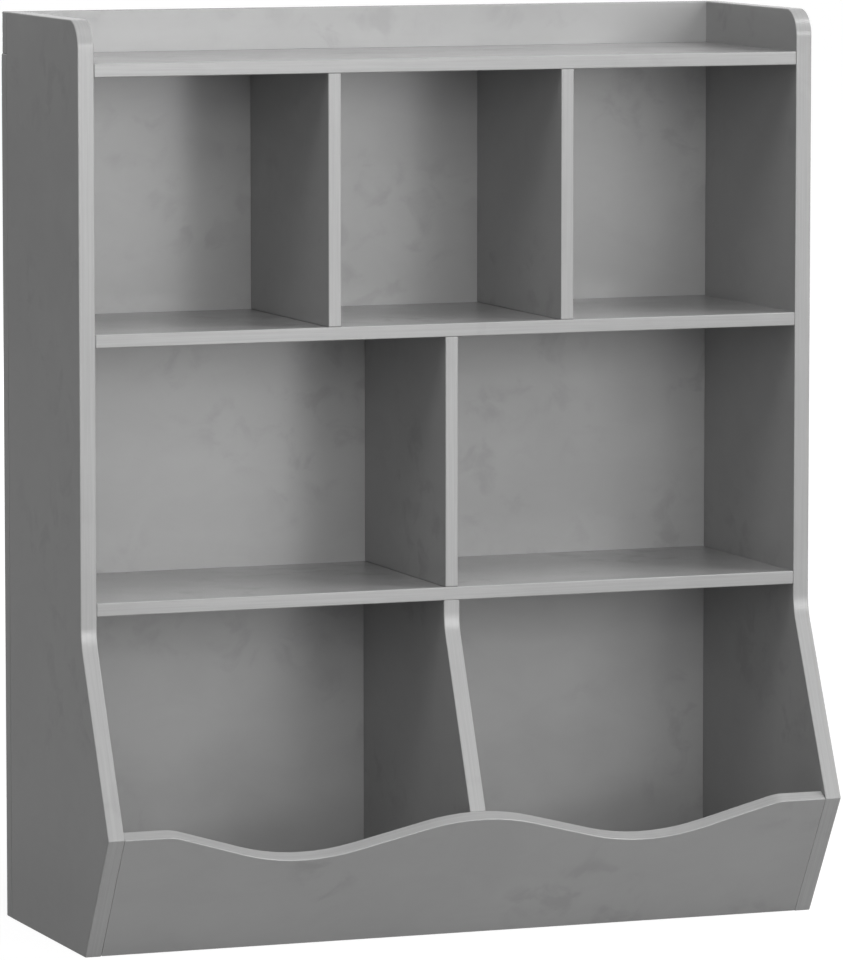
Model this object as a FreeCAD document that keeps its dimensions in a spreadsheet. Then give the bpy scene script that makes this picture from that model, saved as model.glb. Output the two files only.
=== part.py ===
import FreeCAD, Part
import math
import os
import re
import Sketcher

# A toy storage organizer: an open cabinet of laminated boards with a tray on top, three small cubbies,
# two wide cubbies and two bins behind a leaning front panel with a wavy top edge.
# X runs to the right, Y to the back and Z up. The origin is on the floor, in the middle of the footprint.
# Most pieces are drawn from the upper front plane, in which the front edges of all the boards lie.

SIZES = {
    # The whole cabinet
    "width": 700,
    "height": 827,
    "depth": 300,
    "side_board": 15,
    "board": 12,
    "back_board": 15,
    "divider_board": 15,
    "ease": 0.6,
    # Where the boards lie
    "lower_shelf_height": 302,
    "cubby_height": 225.5,
    "bottom_board_height": 28,
    "divider_spacing": 222.4,
    # The outline of a side panel: its foremost corner, its toe, its knee and its top corner
    "reach": 76,
    "corner_height": 114,
    "toe_reach": 7.5,
    "knee_height": 280,
    "knee_radius": 35,
    "top_corner_radius": 24,
    # The wave along the top of the front panel
    "shoulder_length": 43,
    "shoulder_radius": 36,
    "wave_depth": 35.4,
    "trough_offset": 163,
    "trough_radius": 162,
    "crest_radius": 108,
    # The housings that the dividers slide into from behind
    "housing_depth": 3,
    "housing_stop": 12,
    # The two rows of fittings at a board's end, and the two up the front panel's face
    "front_row": 60,
    "rear_row": 150,
    "low_rise": 36,
    "high_rise": 98,
    "middle_rise": 84,
    # Fluted dowels
    "dowel_diameter": 6,
    "dowel_length": 30,
    "dowel_in_side": 10,
    "dowel_in_board": 8,
    "spare_depth": 1,
    "hole_play": 0.2,
    # Cam joints: a bolt in the side panel and a lock in the board
    "cam_distance": 24,
    "cam_diameter": 12,
    "cam_length": 10,
    "bolt_diameter": 5,
    "bolt_head": 6,
    "bolt_head_length": 2.4,
    "bolt_grip": 10,
    "bolt_bore": 7,
    # Countersunk screws through the back panel
    "lowest_screw": 90,
    "screw_spacing": 300,
    "screw_diameter": 4,
    "screw_head": 8,
    "screw_length": 38,
    # Pilot holes in the rail for a wall strap
    "strap_spacing": 400,
    "strap_hole": 3,
    "strap_hole_depth": 9,
}

doc = FreeCAD.newDocument("toy_storage_organizer")
sheet = doc.addObject("Spreadsheet::Sheet", "Sizes")
for row, (name, size) in enumerate(SIZES.items(), 1):
    sheet.set(f"A{row}", name)
    sheet.set(f"B{row}", str(size))
    sheet.setAlias(f"B{row}", name)
doc.recompute()

# Places worked out from the driving sizes
FRONT_PLANE = "(reach - depth / 2)"
SIDE_DEPTH = "(depth - reach - back_board)"
REAR_OF_SIDES = f"({FRONT_PLANE} + {SIDE_DEPTH})"
INSIDE = "(width / 2 - side_board)"
UPPER_SHELF = "(lower_shelf_height + board + cubby_height)"
TOP_BOARD = "(lower_shelf_height + 2 * board + 2 * cubby_height)"
TRAY = "(lower_shelf_height + 3 * board + 2 * cubby_height)"
BIN_FLOOR = "(bottom_board_height + board)"
RAIL_HEIGHT = f"(height - {TRAY})"
MID_BOARD = "(board / 2)"
TOP_DIVIDER = "(divider_spacing / 2)"

# The front panel leans: LEAN is its angle from upright, FACE the length of its face
RUN = "(reach - toe_reach)"
FACE = f"sqrt({RUN}^2 + corner_height^2)"
LEAN = f"atan({RUN} / corner_height)"
LEAN_SIN = f"({RUN} / {FACE})"
LEAN_COS = f"(corner_height / {FACE})"
SHOULDER = f"({INSIDE} - shoulder_length)"
TROUGH_CENTRE = f"({FACE} - wave_depth + trough_radius)"

# Holes for the fittings
BOLT_HOLE = "bolt_diameter + hole_play"
SCREW_HOLE = "screw_diameter + hole_play"
LOCK_FROM_MIDDLE = f"({INSIDE} - cam_distance)"
SCREW_IN_SIDE = "screw_length - back_board + spare_depth"


def on_face(rise, inward):
    """The depth and height of a point that far up the front panel's face and that far into the board."""
    depth = f"(-toe_reach - ({rise}) * {LEAN_SIN} + ({inward}) * {LEAN_COS})"
    height = f"(({rise}) * {LEAN_COS} + ({inward}) * {LEAN_SIN})"
    return depth, height


def behind_panel(height):
    """The depth of the front panel's rear face at that height."""
    return f"(-toe_reach + board / {LEAN_COS} - ({height}) * {LEAN_SIN} / {LEAN_COS})"


def on_sheet(expression):
    """The expression with each driving size written as a cell of the sheet."""
    return re.sub(r"[a-z_]+", lambda word: f"Sizes.{word[0]}" if word[0] in SIZES else word[0], expression)


def value(expression):
    """The number that an expression has now."""
    result = sheet.evalExpression(on_sheet(expression))
    return float(getattr(result, "Value", result))


def bind(thing, place, expression):
    """Ties one property to the sheet."""
    thing.setExpression(place, on_sheet(expression))


def put(thing, x="0", y="0", z="0"):
    """Ties the place of a body, a copy or a primitive to the sheet."""
    for axis, expression in (("x", x), ("y", y), ("z", z)):
        if expression != "0":
            bind(thing, f"Placement.Base.{axis}", expression)


def about_x(angle):
    return FreeCAD.Rotation(FreeCAD.Vector(1, 0, 0), angle)


def lean(thing):
    """Puts a thing that was made flat at the front panel's place and angle."""
    thing.Placement = FreeCAD.Placement(FreeCAD.Vector(), about_x(value(LEAN)))
    bind(thing, "Placement.Rotation.Angle", LEAN)
    put(thing, y=f"{FRONT_PLANE} - toe_reach")


# Sketches

# Dowels are fluted with twelve ridges. Their hidden holes have twelve flats that clear the ridges at any turn.
FLUTES = 12
RIDGE_TURNS = [360 / FLUTES * (flute + 0.5) for flute in range(FLUTES)]
HOLE_RIDGES = f"(dowel_diameter + hole_play) / 2 / cos({180 / FLUTES})"


def new_body(name, x="0", y="0", z="0"):
    body = doc.addObject("PartDesign::Body", name)
    body.Label = name
    put(body, x, y, z)
    return body


def new_sketch(body, name, plane, offset="0"):
    """A sketch on one of the body's own planes, moved along the plane's normal."""
    sketch = body.newObject("Sketcher::SketchObject", f"{body.Label}_{name}_sketch")
    support = next(part for part in body.Origin.OriginFeatures if part.Role == plane)
    sketch.AttachmentSupport = [(support, "")]
    sketch.MapMode = "FlatFace"
    if offset != "0":
        bind(sketch, "AttachmentOffset.Base.z", offset)
    return sketch


def dimension(sketch, kind, expression, *where):
    """One dimension of the sketch, tied to the sheet."""
    number = sketch.addConstraint(Sketcher.Constraint(kind, *where, value(expression)))
    bind(sketch, f"Constraints[{number}]", expression)


def hold(sketch, geometry, point, across, up):
    """Holds a point of the sketch at its place."""
    for kind, axis_line, expression in (("DistanceX", -2, across), ("DistanceY", -1, up)):
        if expression == "0":
            sketch.addConstraint(Sketcher.Constraint("PointOnObject", geometry, point, axis_line))
        else:
            dimension(sketch, kind, expression, -1, 1, geometry, point)


def draw_polygon(sketch, corners):
    """A closed outline through the corners."""
    points = [FreeCAD.Vector(value(across), value(up), 0) for across, up in corners]
    lines = [sketch.addGeometry(Part.LineSegment(start, end), False)
             for start, end in zip(points, points[1:] + points[:1])]
    for line, before, (across, up) in zip(lines, lines[-1:] + lines[:-1], corners):
        sketch.addConstraint(Sketcher.Constraint("Coincident", before, 2, line, 1))
        hold(sketch, line, 1, across, up)


def draw_circles(sketch, places, diameter):
    """One circle at each place."""
    for across, up in places:
        centre = FreeCAD.Vector(value(across), value(up), 0)
        circle = Part.Circle(centre, FreeCAD.Vector(0, 0, 1), value(diameter) / 2)
        number = sketch.addGeometry(circle, False)
        dimension(sketch, "Diameter", diameter, number)
        hold(sketch, number, 3, across, up)


def draw_rings(sketch, places, ridge_distance):
    """A ring of twelve flats at each place, with its ridges at that distance from the place."""
    for across, up in places:
        draw_polygon(sketch, [
            (f"{across} + {ridge_distance} * cos({turn})", f"{up} + {ridge_distance} * sin({turn})")
            for turn in RIDGE_TURNS])


# Features of a board

def add_pad(body, sketch, thickness, symmetric=False, reverse=False):
    pad = body.newObject("PartDesign::Pad", f"{body.Label}_board")
    pad.Profile = sketch
    bind(pad, "Length", thickness)
    pad.SideType = "Symmetric" if symmetric else "One side"
    pad.Reversed = reverse
    doc.recompute()


def add_cut(body, feature_type, name, sketch, reverse, **settings):
    """Cuts against the sketch's normal, or along it when reversed, and makes sure that something went."""
    doc.recompute()
    before = body.Shape.Volume
    cut = body.newObject(f"PartDesign::{feature_type}", f"{body.Label}_{name}")
    cut.Profile = sketch
    cut.Reversed = reverse
    for setting, wanted in settings.items():
        if isinstance(wanted, str) and on_sheet(wanted) != wanted:
            bind(cut, setting, wanted)
        else:
            setattr(cut, setting, wanted)
    doc.recompute()
    if body.Shape.Volume > before - 1:
        raise RuntimeError(f"{cut.Label} cuts nothing")


def drill(body, name, plane, offset, places, diameter, depth, reverse=False):
    """Round blind holes of one size, drilled from a flat side of the board."""
    sketch = new_sketch(body, name, plane, offset)
    draw_circles(sketch, places, diameter)
    add_cut(body, "Pocket", name, sketch, reverse, Length=depth)


def drill_for_dowels(body, name, plane, offset, places, depth, reverse=False):
    """Blind holes for dowels, drilled from a flat side of the board."""
    sketch = new_sketch(body, name, plane, offset)
    draw_rings(sketch, places, HOLE_RIDGES)
    add_cut(body, "Pocket", name, sketch, reverse, Length=depth)


def rout_housings(body, name, plane_offset, middles, width, reverse=False):
    """Shallow grooves that are open at the board's rear edge and stop short of its front edge."""
    sketch = new_sketch(body, name, "XY_Plane", plane_offset)
    for middle in middles:
        left, right = f"{middle} - {width} / 2", f"{middle} + {width} / 2"
        draw_polygon(sketch, [
            (left, "housing_stop"),
            (right, "housing_stop"),
            (right, SIDE_DEPTH),
            (left, SIDE_DEPTH),
        ])
    add_cut(body, "Pocket", name, sketch, reverse, Length="housing_depth")


def near(a, b):
    return abs(a - b) < 0.01


def dress_edges(body, kind, name, test, size_name, size):
    """Fillets or chamfers the edges whose middles pass the test."""
    base = body.Tip
    names = [f"Edge{number}" for number, edge in enumerate(base.Shape.Edges, 1)
             if test(edge.valueAt((edge.FirstParameter + edge.LastParameter) / 2))]
    if not names:
        raise RuntimeError(f"{body.Label} has no edge to dress")
    dressing = body.newObject(f"PartDesign::{kind}", f"{body.Label}_{name}")
    dressing.Base = (base, names)
    bind(dressing, size_name, size)
    doc.recompute()


def round_corner(body, name, depth, height, radius):
    """Rounds the corner of an upright board at that depth and height."""
    deep, high = value(depth), value(height)
    dress_edges(body, "Fillet", name, lambda at: near(at.y, deep) and near(at.z, high), "Radius", radius)


def ease_edges(body, test):
    """Breaks the sharp edges that a hand meets."""
    dress_edges(body, "Chamfer", "eased", test, "Size", "ease")


# Side panels. Each is drilled from its inner face and from its rear edge.

BOLT_HEIGHTS = [f"{TOP_BOARD} + {MID_BOARD}", f"bottom_board_height + {MID_BOARD}"]
SHELF_HEIGHTS = [f"{UPPER_SHELF} + {MID_BOARD}", f"lower_shelf_height + {MID_BOARD}"]
FRONT_RISES = ["low_rise", "high_rise"]
SCREW_HEIGHTS = [f"lowest_screw + {place} * screw_spacing" for place in range(3)]
BOLTS_IN_SIDE = [("front_row", height) for height in BOLT_HEIGHTS]
DOWELS_IN_SIDE = [("rear_row", height) for height in BOLT_HEIGHTS]
DOWELS_IN_SIDE += [(row, height) for height in SHELF_HEIGHTS for row in ("front_row", "rear_row")]
DOWELS_IN_SIDE += [on_face(rise, MID_BOARD) for rise in FRONT_RISES]


def side_panel(name, x, inner_face, reverse):
    body = new_body(name, x, FRONT_PLANE)
    outline = new_sketch(body, "outline", "YZ_Plane")
    draw_polygon(outline, [
        (SIDE_DEPTH, "0"),
        ("-toe_reach", "0"),
        ("-reach", "corner_height"),
        ("0", "knee_height"),
        ("0", "height"),
        (SIDE_DEPTH, "height"),
    ])
    add_pad(body, outline, "side_board")
    round_corner(body, "knee", "0", "knee_height", "knee_radius")
    round_corner(body, "top_corner", "0", "height", "top_corner_radius")
    rear, thickness = value(SIDE_DEPTH), value("side_board")
    ease_edges(body, lambda at: not near(at.y, rear) and not near(at.z, 0)
               and (near(at.x, 0) or near(at.x, thickness)))
    drill(body, "bolt_holes", "YZ_Plane", inner_face, BOLTS_IN_SIDE, BOLT_HOLE, "bolt_grip", reverse)
    drill_for_dowels(body, "dowel_holes", "YZ_Plane", inner_face, DOWELS_IN_SIDE, "dowel_in_side", reverse)
    screws = [("side_board / 2", height) for height in SCREW_HEIGHTS]
    drill(body, "screw_holes", "XZ_Plane", f"-{SIDE_DEPTH}", screws, SCREW_HOLE, SCREW_IN_SIDE, True)


side_panel("left_side_panel", "-width / 2", "side_board", False)
side_panel("right_side_panel", INSIDE, "0", True)


# Cross boards between the side panels

def drill_ends_for_dowels(body, places):
    """The same dowel holes in the board's left and right ends."""
    depth = "dowel_length - dowel_in_side + spare_depth"
    drill_for_dowels(body, "left_dowel_holes", "YZ_Plane", f"-{INSIDE}", places, depth, True)
    drill_for_dowels(body, "right_dowel_holes", "YZ_Plane", INSIDE, places, depth)


def cross_board(name, height, dowel_rows, front_below="0", front_above="0"):
    body = new_body(name, y=FRONT_PLANE, z=height)
    profile = new_sketch(body, "profile", "YZ_Plane")
    draw_polygon(profile, [
        (front_below, "0"),
        (SIDE_DEPTH, "0"),
        (SIDE_DEPTH, "board"),
        (front_above, "board"),
    ])
    add_pad(body, profile, f"2 * {INSIDE}", symmetric=True)
    if front_below == "0":
        ease_edges(body, lambda at: near(at.y, 0) and near(at.x, 0))
    drill_ends_for_dowels(body, [(row, MID_BOARD) for row in dowel_rows])
    return body


def add_locks(body):
    """The bores for the cam bolts, and the pockets for the cam locks in the underside."""
    bore = [("front_row", MID_BOARD)]
    drill(body, "left_bolt_bore", "YZ_Plane", f"-{INSIDE}", bore, "bolt_bore", "cam_distance", True)
    drill(body, "right_bolt_bore", "YZ_Plane", INSIDE, bore, "bolt_bore", "cam_distance")
    pockets = [(f"-{LOCK_FROM_MIDDLE}", "front_row"), (LOCK_FROM_MIDDLE, "front_row")]
    drill(body, "lock_pockets", "XY_Plane", "0", pockets, "cam_diameter + hole_play", "cam_length", True)


top_board = cross_board("top_board", TOP_BOARD, ["rear_row"])
rout_housings(top_board, "housings_below", "0", [f"-{TOP_DIVIDER}", TOP_DIVIDER], "board", True)
add_locks(top_board)

upper_shelf = cross_board("upper_shelf", UPPER_SHELF, ["front_row", "rear_row"])
rout_housings(upper_shelf, "housings_above", "board", [f"-{TOP_DIVIDER}", TOP_DIVIDER], "board")
rout_housings(upper_shelf, "housing_below", "0", ["0"], "board", True)

lower_shelf = cross_board("lower_shelf", "lower_shelf_height", ["front_row", "rear_row"])
rout_housings(lower_shelf, "housing_above", "board", ["0"], "board")
rout_housings(lower_shelf, "housing_below", "0", ["0"], "divider_board", True)

# The bottom board's front edge is cut to the slant of the front panel
bottom_board = cross_board("bottom_board", "bottom_board_height", ["rear_row"],
                           behind_panel("bottom_board_height"), behind_panel(BIN_FLOOR))
rout_housings(bottom_board, "housing_above", "board", ["0"], "divider_board")
add_locks(bottom_board)


# Dividers. Each slides into its housings from behind and is notched where they stop.

def divider(name, x, foot):
    """A plain divider that fills one cubby's height."""
    body = new_body(name, x, FRONT_PLANE, foot)
    profile = new_sketch(body, "profile", "YZ_Plane")
    draw_polygon(profile, [
        ("0", "0"),
        ("housing_stop", "0"),
        ("housing_stop", "-housing_depth"),
        (SIDE_DEPTH, "-housing_depth"),
        (SIDE_DEPTH, "cubby_height + housing_depth"),
        ("housing_stop", "cubby_height + housing_depth"),
        ("housing_stop", "cubby_height"),
        ("0", "cubby_height"),
    ])
    add_pad(body, profile, "board", symmetric=True)
    ease_edges(body, lambda at: near(at.y, 0) and near(at.z, value("cubby_height") / 2))


divider("top_left_divider", f"-{TOP_DIVIDER}", f"{UPPER_SHELF} + board")
divider("top_right_divider", TOP_DIVIDER, f"{UPPER_SHELF} + board")
divider("middle_divider", "0", "lower_shelf_height + board")

# The lower divider is thicker. Its front edge slants forward to the top of the front panel and then follows
# the panel's rear face down to the bottom board.
lower_divider = new_body("lower_divider", "0", FRONT_PLANE)
panel_top_rear = on_face(FACE, "board")
profile = new_sketch(lower_divider, "profile", "YZ_Plane")
draw_polygon(profile, [
    (behind_panel(BIN_FLOOR), BIN_FLOOR),
    ("housing_stop", BIN_FLOOR),
    ("housing_stop", f"{BIN_FLOOR} - housing_depth"),
    (SIDE_DEPTH, f"{BIN_FLOOR} - housing_depth"),
    (SIDE_DEPTH, "lower_shelf_height + housing_depth"),
    ("housing_stop", "lower_shelf_height + housing_depth"),
    ("housing_stop", "lower_shelf_height"),
    ("0", "lower_shelf_height"),
    ("0", "knee_height"),
    panel_top_rear,
])
add_pad(lower_divider, profile, "divider_board", symmetric=True)
round_corner(lower_divider, "knee", "0", "knee_height", "knee_radius")
slant_foot, slant_top = value(panel_top_rear[1]), value("lower_shelf_height")
ease_edges(lower_divider, lambda at: slant_foot + 1 < at.z < slant_top and at.y < 1 and not near(at.x, 0))

# The hole in its slanted edge for the dowel that joins it to the front panel
slanted = new_sketch(lower_divider, "panel_dowel_hole", "XZ_Plane")
slanted.AttachmentOffset = FreeCAD.Placement(FreeCAD.Vector(), about_x(value(LEAN)))
bind(slanted, "AttachmentOffset.Rotation.Angle", LEAN)
rear_foot_depth, rear_foot_height = on_face("0", "board")
bind(slanted, "AttachmentOffset.Base.y", rear_foot_height)
bind(slanted, "AttachmentOffset.Base.z", f"-{rear_foot_depth}")
draw_rings(slanted, [("0", "middle_rise")], HOLE_RIDGES)
add_cut(lower_divider, "Pocket", "panel_dowel_hole", slanted, False,
        Length="dowel_length - dowel_in_board + spare_depth")


# The front panel. It is drawn flat, with its front face on the plane Y = 0, and leaned about its lower edge.

def add_line(sketch, start, end):
    """A line, with the numbers of its start and end."""
    return sketch.addGeometry(Part.LineSegment(start, end), False), 1, 2


def add_arc(sketch, centre, radius, start, end, over):
    """An arc that is followed from left to right or right to left, over the top of its circle or under it."""
    circle = Part.Circle(centre, FreeCAD.Vector(0, 0, 1), radius)
    backward = (start.x < end.x) == over
    first, last = (end, start) if backward else (start, end)
    arc = Part.ArcOfCircle(circle, circle.parameter(first), circle.parameter(last))
    number = sketch.addGeometry(arc, False)
    return (number, 2, 1) if backward else (number, 1, 2)


def fall_between(crest, crest_radius, trough, trough_radius):
    """The angle of the straight slope that leaves a round crest and runs down into a round trough."""
    across, up = abs(trough.x - crest.x), trough.y - crest.y
    return math.asin((crest_radius + trough_radius) / math.hypot(across, up)) - math.atan2(up, across)


def draw_wavy_outline(sketch):
    """Flat shoulders, two troughs and a crest between them, joined by straight slopes, above straight ends."""
    half, face = value(INSIDE), value(FACE)
    shoulder_r, trough_r, crest_r = (value(f"{part}_radius") for part in ("shoulder", "trough", "crest"))
    crest = FreeCAD.Vector(0, face - crest_r, 0)
    shoulder_top = FreeCAD.Vector(value(SHOULDER), face, 0)
    shoulder = shoulder_top - FreeCAD.Vector(0, shoulder_r, 0)
    trough = FreeCAD.Vector(value("trough_offset"), value(TROUGH_CENTRE), 0)
    inner = fall_between(crest, crest_r, trough, trough_r)
    outer = fall_between(shoulder, shoulder_r, trough, trough_r)
    off_inner = FreeCAD.Vector(math.sin(inner), math.cos(inner), 0)
    off_outer = FreeCAD.Vector(-math.sin(outer), math.cos(outer), 0)
    ends = {
        "crest": crest + off_inner * crest_r,
        "trough_in": trough - off_inner * trough_r,
        "trough_out": trough - off_outer * trough_r,
        "shoulder_in": shoulder + off_outer * shoulder_r,
        "shoulder_top": shoulder_top,
        "corner": FreeCAD.Vector(half, face, 0),
        "foot": FreeCAD.Vector(half, 0, 0),
    }
    right, left = (
        {name: FreeCAD.Vector(side * point.x, point.y, 0) for name, point in ends.items()} for side in (1, -1))

    middle = add_arc(sketch, crest, crest_r, left["crest"], right["crest"], True)
    hold(sketch, middle[0], 3, "0", f"{FACE} - crest_radius")
    dimension(sketch, "Radius", "crest_radius", middle[0])
    halves = []
    for side, at in ((1, right), (-1, left)):
        sign = "" if side == 1 else "-"
        slope_in = add_line(sketch, at["crest"], at["trough_in"])
        dip = add_arc(sketch, FreeCAD.Vector(side * trough.x, trough.y, 0), trough_r,
                      at["trough_in"], at["trough_out"], False)
        slope_out = add_line(sketch, at["trough_out"], at["shoulder_in"])
        bend = add_arc(sketch, FreeCAD.Vector(side * shoulder.x, shoulder.y, 0), shoulder_r,
                       at["shoulder_in"], at["shoulder_top"], True)
        flat = add_line(sketch, at["shoulder_top"], at["corner"])
        end = add_line(sketch, at["corner"], at["foot"])
        smooth = [slope_in, dip, slope_out, bend, flat]
        for here, there in zip(smooth, smooth[1:]):
            sketch.addConstraint(Sketcher.Constraint("Tangent", here[0], here[2], there[0], there[1]))
        sketch.addConstraint(Sketcher.Constraint("Coincident", flat[0], 2, end[0], 1))
        sketch.addConstraint(Sketcher.Constraint("Horizontal", flat[0]))
        hold(sketch, dip[0], 3, f"{sign}trough_offset", TROUGH_CENTRE)
        dimension(sketch, "DistanceX", f"{sign}{SHOULDER}", -1, 1, bend[0], 3)
        for part, arc in (("trough", dip), ("shoulder", bend)):
            dimension(sketch, "Radius", f"{part}_radius", arc[0])
        hold(sketch, end[0], 1, f"{sign}{INSIDE}", FACE)
        hold(sketch, end[0], 2, f"{sign}{INSIDE}", "0")
        halves.append((slope_in, end))
    bottom = add_line(sketch, right["foot"], left["foot"])
    (right_slope, right_end), (left_slope, left_end) = halves
    sketch.addConstraint(Sketcher.Constraint("Tangent", middle[0], middle[2], right_slope[0], 1))
    sketch.addConstraint(Sketcher.Constraint("Tangent", middle[0], middle[1], left_slope[0], 1))
    sketch.addConstraint(Sketcher.Constraint("Coincident", right_end[0], 2, bottom[0], 1))
    sketch.addConstraint(Sketcher.Constraint("Coincident", left_end[0], 2, bottom[0], 2))


front_panel = new_body("front_bin_panel")
lean(front_panel)
outline = new_sketch(front_panel, "outline", "XZ_Plane")
draw_wavy_outline(outline)
add_pad(front_panel, outline, "board", reverse=True)
lowest_top, thickness = value(f"{FACE} - wave_depth") - 1, value("board")
ease_edges(front_panel, lambda at: at.z > lowest_top and (near(at.y, 0) or near(at.y, thickness)))
drill_ends_for_dowels(front_panel, [(MID_BOARD, rise) for rise in FRONT_RISES])
drill_for_dowels(front_panel, "divider_dowel_hole", "XZ_Plane", "-board", [("0", "middle_rise")],
                 "dowel_in_board", True)


# The back panel covers the rear edges of the side panels, and the rail stands on its top edge

BACK_SCREWS = [(across, height) for height in SCREW_HEIGHTS
               for across in ("-(width - side_board) / 2", "(width - side_board) / 2")]
RAIL_DOWELS = [("-width / 3", MID_BOARD), ("width / 3", MID_BOARD)]
STRAP_HOLES = [("-strap_spacing / 2", f"{RAIL_HEIGHT} / 2"), ("strap_spacing / 2", f"{RAIL_HEIGHT} / 2")]


def rear_board(name, thickness, foot, height):
    body = new_body(name, y=REAR_OF_SIDES, z=foot)
    profile = new_sketch(body, "profile", "XZ_Plane")
    draw_polygon(profile, [
        ("-width / 2", "0"),
        ("width / 2", "0"),
        ("width / 2", height),
        ("-width / 2", height),
    ])
    add_pad(body, profile, thickness, reverse=True)
    return body


back_panel = rear_board("back_panel", "back_board", "0", TRAY)
drill_for_dowels(back_panel, "rail_dowel_holes", "XY_Plane", TRAY, RAIL_DOWELS, "dowel_length / 2")
seats = new_sketch(back_panel, "screw_holes", "XZ_Plane", "-back_board")
draw_circles(seats, BACK_SCREWS, SCREW_HOLE)
add_cut(back_panel, "Hole", "screw_holes", seats, True, Diameter=SCREW_HOLE, DepthType="ThroughAll",
        HoleCutType="Countersink", HoleCutCountersinkAngle=90, HoleCutDiameter="screw_head")

back_rail = rear_board("back_rail", "board", TRAY, RAIL_HEIGHT)
rail_top = value(RAIL_HEIGHT)
ease_edges(back_rail, lambda at: near(at.z, rail_top) and near(at.x, 0))
drill_for_dowels(back_rail, "dowel_holes", "XY_Plane", "0", RAIL_DOWELS, "dowel_length / 2 + spare_depth", True)
drill(back_rail, "strap_holes", "XZ_Plane", "-board", STRAP_HOLES, "strap_hole", "strap_hole_depth", True)


# One of each fitting, drawn standing up from the origin and copied to its places below

dowel = new_body("dowel_pattern")
ridges = new_sketch(dowel, "ridges", "XY_Plane")
draw_rings(ridges, [("0", "0")], "dowel_diameter / 2")
add_pad(dowel, ridges, "dowel_length")


def turned(name, corners):
    """A fitting turned about its own upright axis, from half of its outline."""
    body = new_body(name)
    half_outline = new_sketch(body, "half_outline", "XZ_Plane")
    draw_polygon(half_outline, corners)
    doc.recompute()
    turning = body.newObject("PartDesign::Revolution", f"{name}_turned")
    turning.Profile = half_outline
    turning.ReferenceAxis = (half_outline, ["V_Axis"])
    turning.Angle = 360
    doc.recompute()
    return body


# The screw's flat head is at the origin
screw = turned("screw_pattern", [
    ("0", "0"),
    ("screw_head / 2", "0"),
    ("screw_diameter / 2", "(screw_head - screw_diameter) / 2"),
    ("screw_diameter / 2", "screw_length"),
    ("0", "screw_length"),
])

# The cam bolt's foot stands on the bottom of its hole in the side panel, and the lock draws in its flared head
bolt = turned("bolt_pattern", [
    ("0", "0"),
    ("bolt_diameter / 2", "0"),
    ("bolt_diameter / 2", "bolt_grip + cam_distance - bolt_head_length / 2"),
    ("bolt_head / 2", "bolt_grip + cam_distance + bolt_head_length / 2"),
    ("0", "bolt_grip + cam_distance + bolt_head_length / 2"),
])

# The cam lock is a drum with a room across it for the bolt's head and a slot to it for the bolt's shank

def new_room(name, start, end, width):
    """A box along X, with its middle on the bolt's axis."""
    room = doc.addObject("Part::Box", name)
    bind(room, "Length", f"({end}) - ({start})")
    bind(room, "Width", width)
    bind(room, "Height", width)
    put(room, start, f"-({width}) / 2", f"{MID_BOARD} - ({width}) / 2")
    return room


drum = doc.addObject("Part::Cylinder", "lock_drum")
bind(drum, "Radius", "cam_diameter / 2")
bind(drum, "Height", "cam_length")
lock_rooms = doc.addObject("Part::MultiFuse", "lock_rooms")
lock_rooms.Shapes = [
    new_room("head_room", "-bolt_head_length", "bolt_head_length", "bolt_head + hole_play"),
    new_room("shank_slot", "0", "cam_diameter", "bolt_diameter + 2 * hole_play"),
]
lock = doc.addObject("Part::Cut", "lock_pattern")
lock.Base = drum
lock.Tool = lock_rooms
doc.recompute()


# Groups of fittings. Each is one node, placed with the board that its places are measured from.

UP = FreeCAD.Rotation()
HALF_TURN = FreeCAD.Rotation(FreeCAD.Vector(0, 0, 1), 180)
TO_RIGHT = FreeCAD.Rotation(FreeCAD.Vector(0, 1, 0), 90)
TO_LEFT = FreeCAD.Rotation(FreeCAD.Vector(0, 1, 0), -90)
TO_FRONT = about_x(90)
TO_REAR = about_x(-90)


def group(name, pattern, copies, x="0", y=FRONT_PLANE, z="0", leaning=False):
    """One node of separate like pieces, each turned its own way and at its own place."""
    links = []
    for number, (turn, *place) in enumerate(copies, 1):
        link = doc.addObject("App::Link", f"{name}_{number}")
        link.LinkedObject = pattern
        link.Placement = FreeCAD.Placement(FreeCAD.Vector(), turn)
        put(link, *place)
        links.append(link)
    node = doc.addObject("Part::Compound", name)
    node.Label = name
    node.Links = links
    if leaning:
        lean(node)
    else:
        put(node, x, y, z)


def end_dowels(places):
    """Dowels from the bottoms of their holes in both side panels towards the middle."""
    foot = f"({INSIDE} + dowel_in_side)"
    return [copy for place in places for copy in ((TO_RIGHT, f"-{foot}", *place), (TO_LEFT, foot, *place))]


bolt_foot = f"({INSIDE} + bolt_grip)"
group("left_cam_bolts", bolt, [(TO_RIGHT, "0", *place) for place in BOLTS_IN_SIDE], f"-{bolt_foot}")
group("right_cam_bolts", bolt, [(TO_LEFT, "0", *place) for place in BOLTS_IN_SIDE], bolt_foot)

locks = [(HALF_TURN, f"-{LOCK_FROM_MIDDLE}", "front_row", "0"), (UP, LOCK_FROM_MIDDLE, "front_row", "0")]
for name, height in (("top_board", TOP_BOARD), ("bottom_board", "bottom_board_height")):
    group(f"{name}_cam_locks", lock, locks, z=height)
    group(f"{name}_dowels", dowel, end_dowels([("rear_row", MID_BOARD)]), z=height)

for name, height in (("upper_shelf", UPPER_SHELF), ("lower_shelf", "lower_shelf_height")):
    group(f"{name}_dowels", dowel, end_dowels([("front_row", MID_BOARD), ("rear_row", MID_BOARD)]), z=height)

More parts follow.
